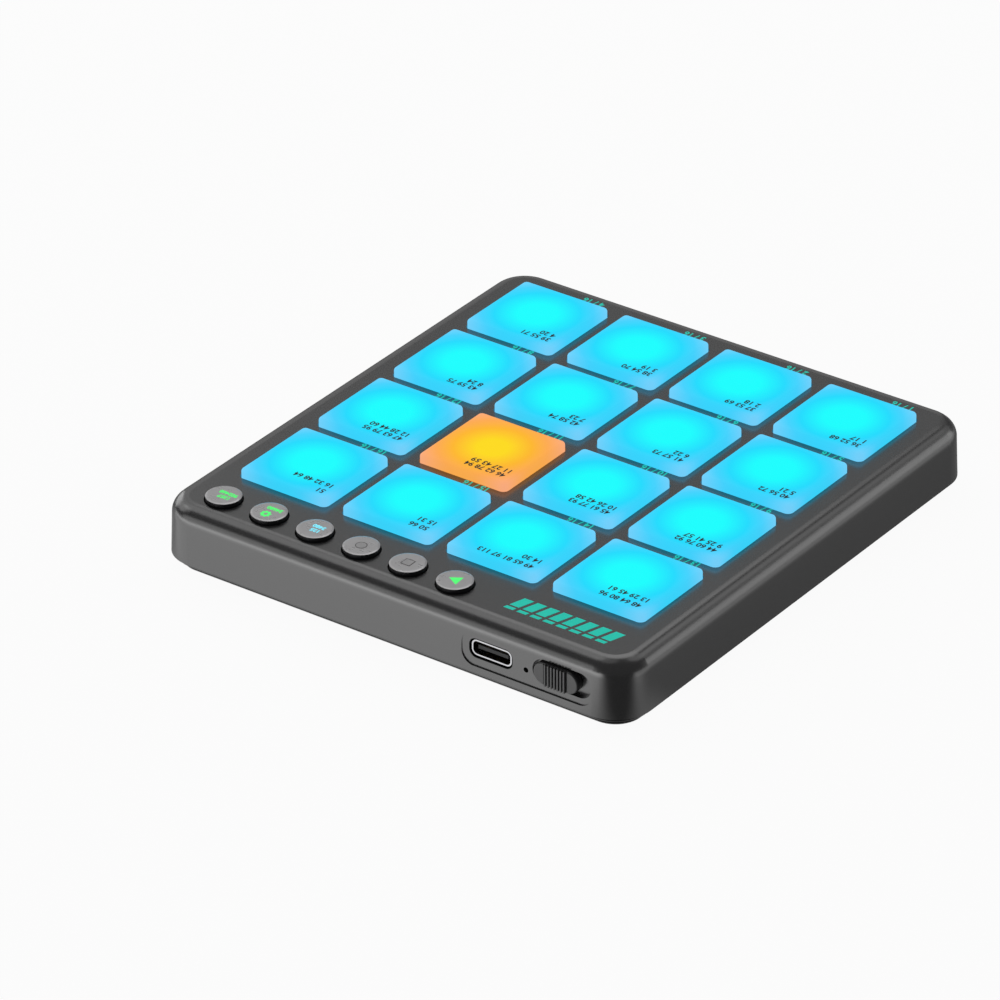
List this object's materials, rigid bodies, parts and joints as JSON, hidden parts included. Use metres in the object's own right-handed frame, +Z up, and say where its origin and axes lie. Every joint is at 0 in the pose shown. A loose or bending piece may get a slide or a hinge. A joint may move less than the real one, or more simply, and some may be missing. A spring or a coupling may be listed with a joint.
{
  "type": "midi pad controller",
  "caption": "Flat box controller with a grid of lit square pads, a row of round buttons, and a charging socket and ribbed power slider on its rear wall.",
  "frame": {"origin": "bottom centre of the body, on the surface that its feet stand on", "axes": "+Z up, the player sits at -Y, +Y points out of the rear wall with the socket and the slider, +X to the player's right"},
  "size_m": [0.108, 0.1167, 0.016],
  "materials": {
    "case": "fine matt texture",
    "pad_lit": "translucent, lit from below",
    "pad_lit_orange": "translucent, lit from below",
    "button_metal": "satin",
    "slider_plastic": "satin",
    "shell_metal": "bright",
    "connector": "satin",
    "board": "satin",
    "led_body": "gloss",
    "white_plastic": "matt",
    "film": "satin",
    "switch_plastic": "matt",
    "switch_metal": "satin",
    "chip": "matt",
    "battery_foil": "satin",
    "tape": "matt",
    "lead_cover": "gloss",
    "screw_steel": "blackened",
    "foot_rubber": "matt"
  },
  "bodies": {
    "case": {"top_cover": "case", "base_cover": "case", "usb_shell": "shell_metal", "usb_tongue": "connector", "circuit_board": "board", "pad_leds": "led_body", "light_frame": "white_plastic", "sensor_film": "film", "tact_switches": "switch_plastic", "power_switch": "switch_metal", "charge_led": "led_body", "controller_chip": "chip", "radio_board": "board", "radio_shield": "switch_metal", "battery": "battery_foil", "battery_tape": "tape", "battery_leads": "lead_cover", "battery_socket": "white_plastic", "case_screws": "screw_steel", "foot_1": "foot_rubber", "foot_2": "foot_rubber", "foot_3": "foot_rubber", "foot_4": "foot_rubber"},
    "pad_body_01": {"pad_01": "pad_lit"},
    "pad_body_02": {"pad_02": "pad_lit"},
    "pad_body_03": {"pad_03": "pad_lit"},
    "pad_body_04": {"pad_04": "pad_lit"},
    "pad_body_05": {"pad_05": "pad_lit"},
    "pad_body_06": {"pad_06": "pad_lit"},
    "pad_body_07": {"pad_07": "pad_lit"},
    "pad_body_08": {"pad_08": "pad_lit"},
    "pad_body_09": {"pad_09": "pad_lit"},
    "pad_body_10": {"pad_10": "pad_lit"},
    "pad_body_11": {"pad_11": "pad_lit_orange"},
    "pad_body_12": {"pad_12": "pad_lit"},
    "pad_body_13": {"pad_13": "pad_lit"},
    "pad_body_14": {"pad_14": "pad_lit"},
    "pad_body_15": {"pad_15": "pad_lit"},
    "pad_body_16": {"pad_16": "pad_lit"},
    "button_body_1": {"button_1": "button_metal", "switch_plunger_1": "chip"},
    "button_body_2": {"button_2": "button_metal", "switch_plunger_2": "chip"},
    "button_body_3": {"button_3": "button_metal", "switch_plunger_3": "chip"},
    "button_body_4": {"button_4": "button_metal", "switch_plunger_4": "chip"},
    "button_body_5": {"button_5": "button_metal", "switch_plunger_5": "chip"},
    "button_body_6": {"button_6": "button_metal", "switch_plunger_6": "chip"},
    "slider_body": {"power_slider": "slider_plastic", "switch_lever": "chip"}
  },
  "joints": [
    {"name": "pad_01_press", "type": "slide", "parent": "case", "child": "pad_body_01", "axis": [0, 0, -1], "range_m": [0, 0.0006], "stiffness_N_per_m": 600, "springref_m": -0.00008},
    {"name": "pad_02_press", "type": "slide", "parent": "case", "child": "pad_body_02", "axis": [0, 0, -1], "range_m": [0, 0.0006], "stiffness_N_per_m": 600, "springref_m": -0.00008},
    {"name": "pad_03_press", "type": "slide", "parent": "case", "child": "pad_body_03", "axis": [0, 0, -1], "range_m": [0, 0.0006], "stiffness_N_per_m": 600, "springref_m": -0.00008},
    {"name": "pad_04_press", "type": "slide", "parent": "case", "child": "pad_body_04", "axis": [0, 0, -1], "range_m": [0, 0.0006], "stiffness_N_per_m": 600, "springref_m": -0.00008},
    {"name": "pad_05_press", "type": "slide", "parent": "case", "child": "pad_body_05", "axis": [0, 0, -1], "range_m": [0, 0.0006], "stiffness_N_per_m": 600, "springref_m": -0.00008},
    {"name": "pad_06_press", "type": "slide", "parent": "case", "child": "pad_body_06", "axis": [0, 0, -1], "range_m": [0, 0.0006], "stiffness_N_per_m": 600, "springref_m": -0.00008},
    {"name": "pad_07_press", "type": "slide", "parent": "case", "child": "pad_body_07", "axis": [0, 0, -1], "range_m": [0, 0.0006], "stiffness_N_per_m": 600, "springref_m": -0.00008},
    {"name": "pad_08_press", "type": "slide", "parent": "case", "child": "pad_body_08", "axis": [0, 0, -1], "range_m": [0, 0.0006], "stiffness_N_per_m": 600, "springref_m": -0.00008},
    {"name": "pad_09_press", "type": "slide", "parent": "case", "child": "pad_body_09", "axis": [0, 0, -1], "range_m": [0, 0.0006], "stiffness_N_per_m": 600, "springref_m": -0.00008},
    {"name": "pad_10_press", "type": "slide", "parent": "case", "child": "pad_body_10", "axis": [0, 0, -1], "range_m": [0, 0.0006], "stiffness_N_per_m": 600, "springref_m": -0.00008},
    {"name": "pad_11_press", "type": "slide", "parent": "case", "child": "pad_body_11", "axis": [0, 0, -1], "range_m": [0, 0.0006], "stiffness_N_per_m": 600, "springref_m": -0.00008},
    {"name": "pad_12_press", "type": "slide", "parent": "case", "child": "pad_body_12", "axis": [0, 0, -1], "range_m": [0, 0.0006], "stiffness_N_per_m": 600, "springref_m": -0.00008},
    {"name": "pad_13_press", "type": "slide", "parent": "case", "child": "pad_body_13", "axis": [0, 0, -1], "range_m": [0, 0.0006], "stiffness_N_per_m": 600, "springref_m": -0.00008},
    {"name": "pad_14_press", "type": "slide", "parent": "case", "child": "pad_body_14", "axis": [0, 0, -1], "range_m": [0, 0.0006], "stiffness_N_per_m": 600, "springref_m": -0.00008},
    {"name": "pad_15_press", "type": "slide", "parent": "case", "child": "pad_body_15", "axis": [0, 0, -1], "range_m": [0, 0.0006], "stiffness_N_per_m": 600, "springref_m": -0.00008},
    {"name": "pad_16_press", "type": "slide", "parent": "case", "child": "pad_body_16", "axis": [0, 0, -1], "range_m": [0, 0.0006], "stiffness_N_per_m": 600, "springref_m": -0.00008},
    {"name": "button_1_press", "type": "slide", "parent": "case", "child": "button_body_1", "axis": [0, 0, -1], "range_m": [0, 0.0003], "stiffness_N_per_m": 800, "springref_m": -0.00003},
    {"name": "button_2_press", "type": "slide", "parent": "case", "child": "button_body_2", "axis": [0, 0, -1], "range_m": [0, 0.0003], "stiffness_N_per_m": 800, "springref_m": -0.00003},
    {"name": "button_3_press", "type": "slide", "parent": "case", "child": "button_body_3", "axis": [0, 0, -1], "range_m": [0, 0.0003], "stiffness_N_per_m": 800, "springref_m": -0.00003},
    {"name": "button_4_press", "type": "slide", "parent": "case", "child": "button_body_4", "axis": [0, 0, -1], "range_m": [0, 0.0003], "stiffness_N_per_m": 800, "springref_m": -0.00003},
    {"name": "button_5_press", "type": "slide", "parent": "case", "child": "button_body_5", "axis": [0, 0, -1], "range_m": [0, 0.0003], "stiffness_N_per_m": 800, "springref_m": -0.00003},
    {"name": "button_6_press", "type": "slide", "parent": "case", "child": "button_body_6", "axis": [0, 0, -1], "range_m": [0, 0.0003], "stiffness_N_per_m": 800, "springref_m": -0.00003},
    {"name": "power_slide", "type": "slide", "parent": "case", "child": "slider_body", "axis": [-1, 0, 0], "range_m": [0, 0.002]}
  ]
}
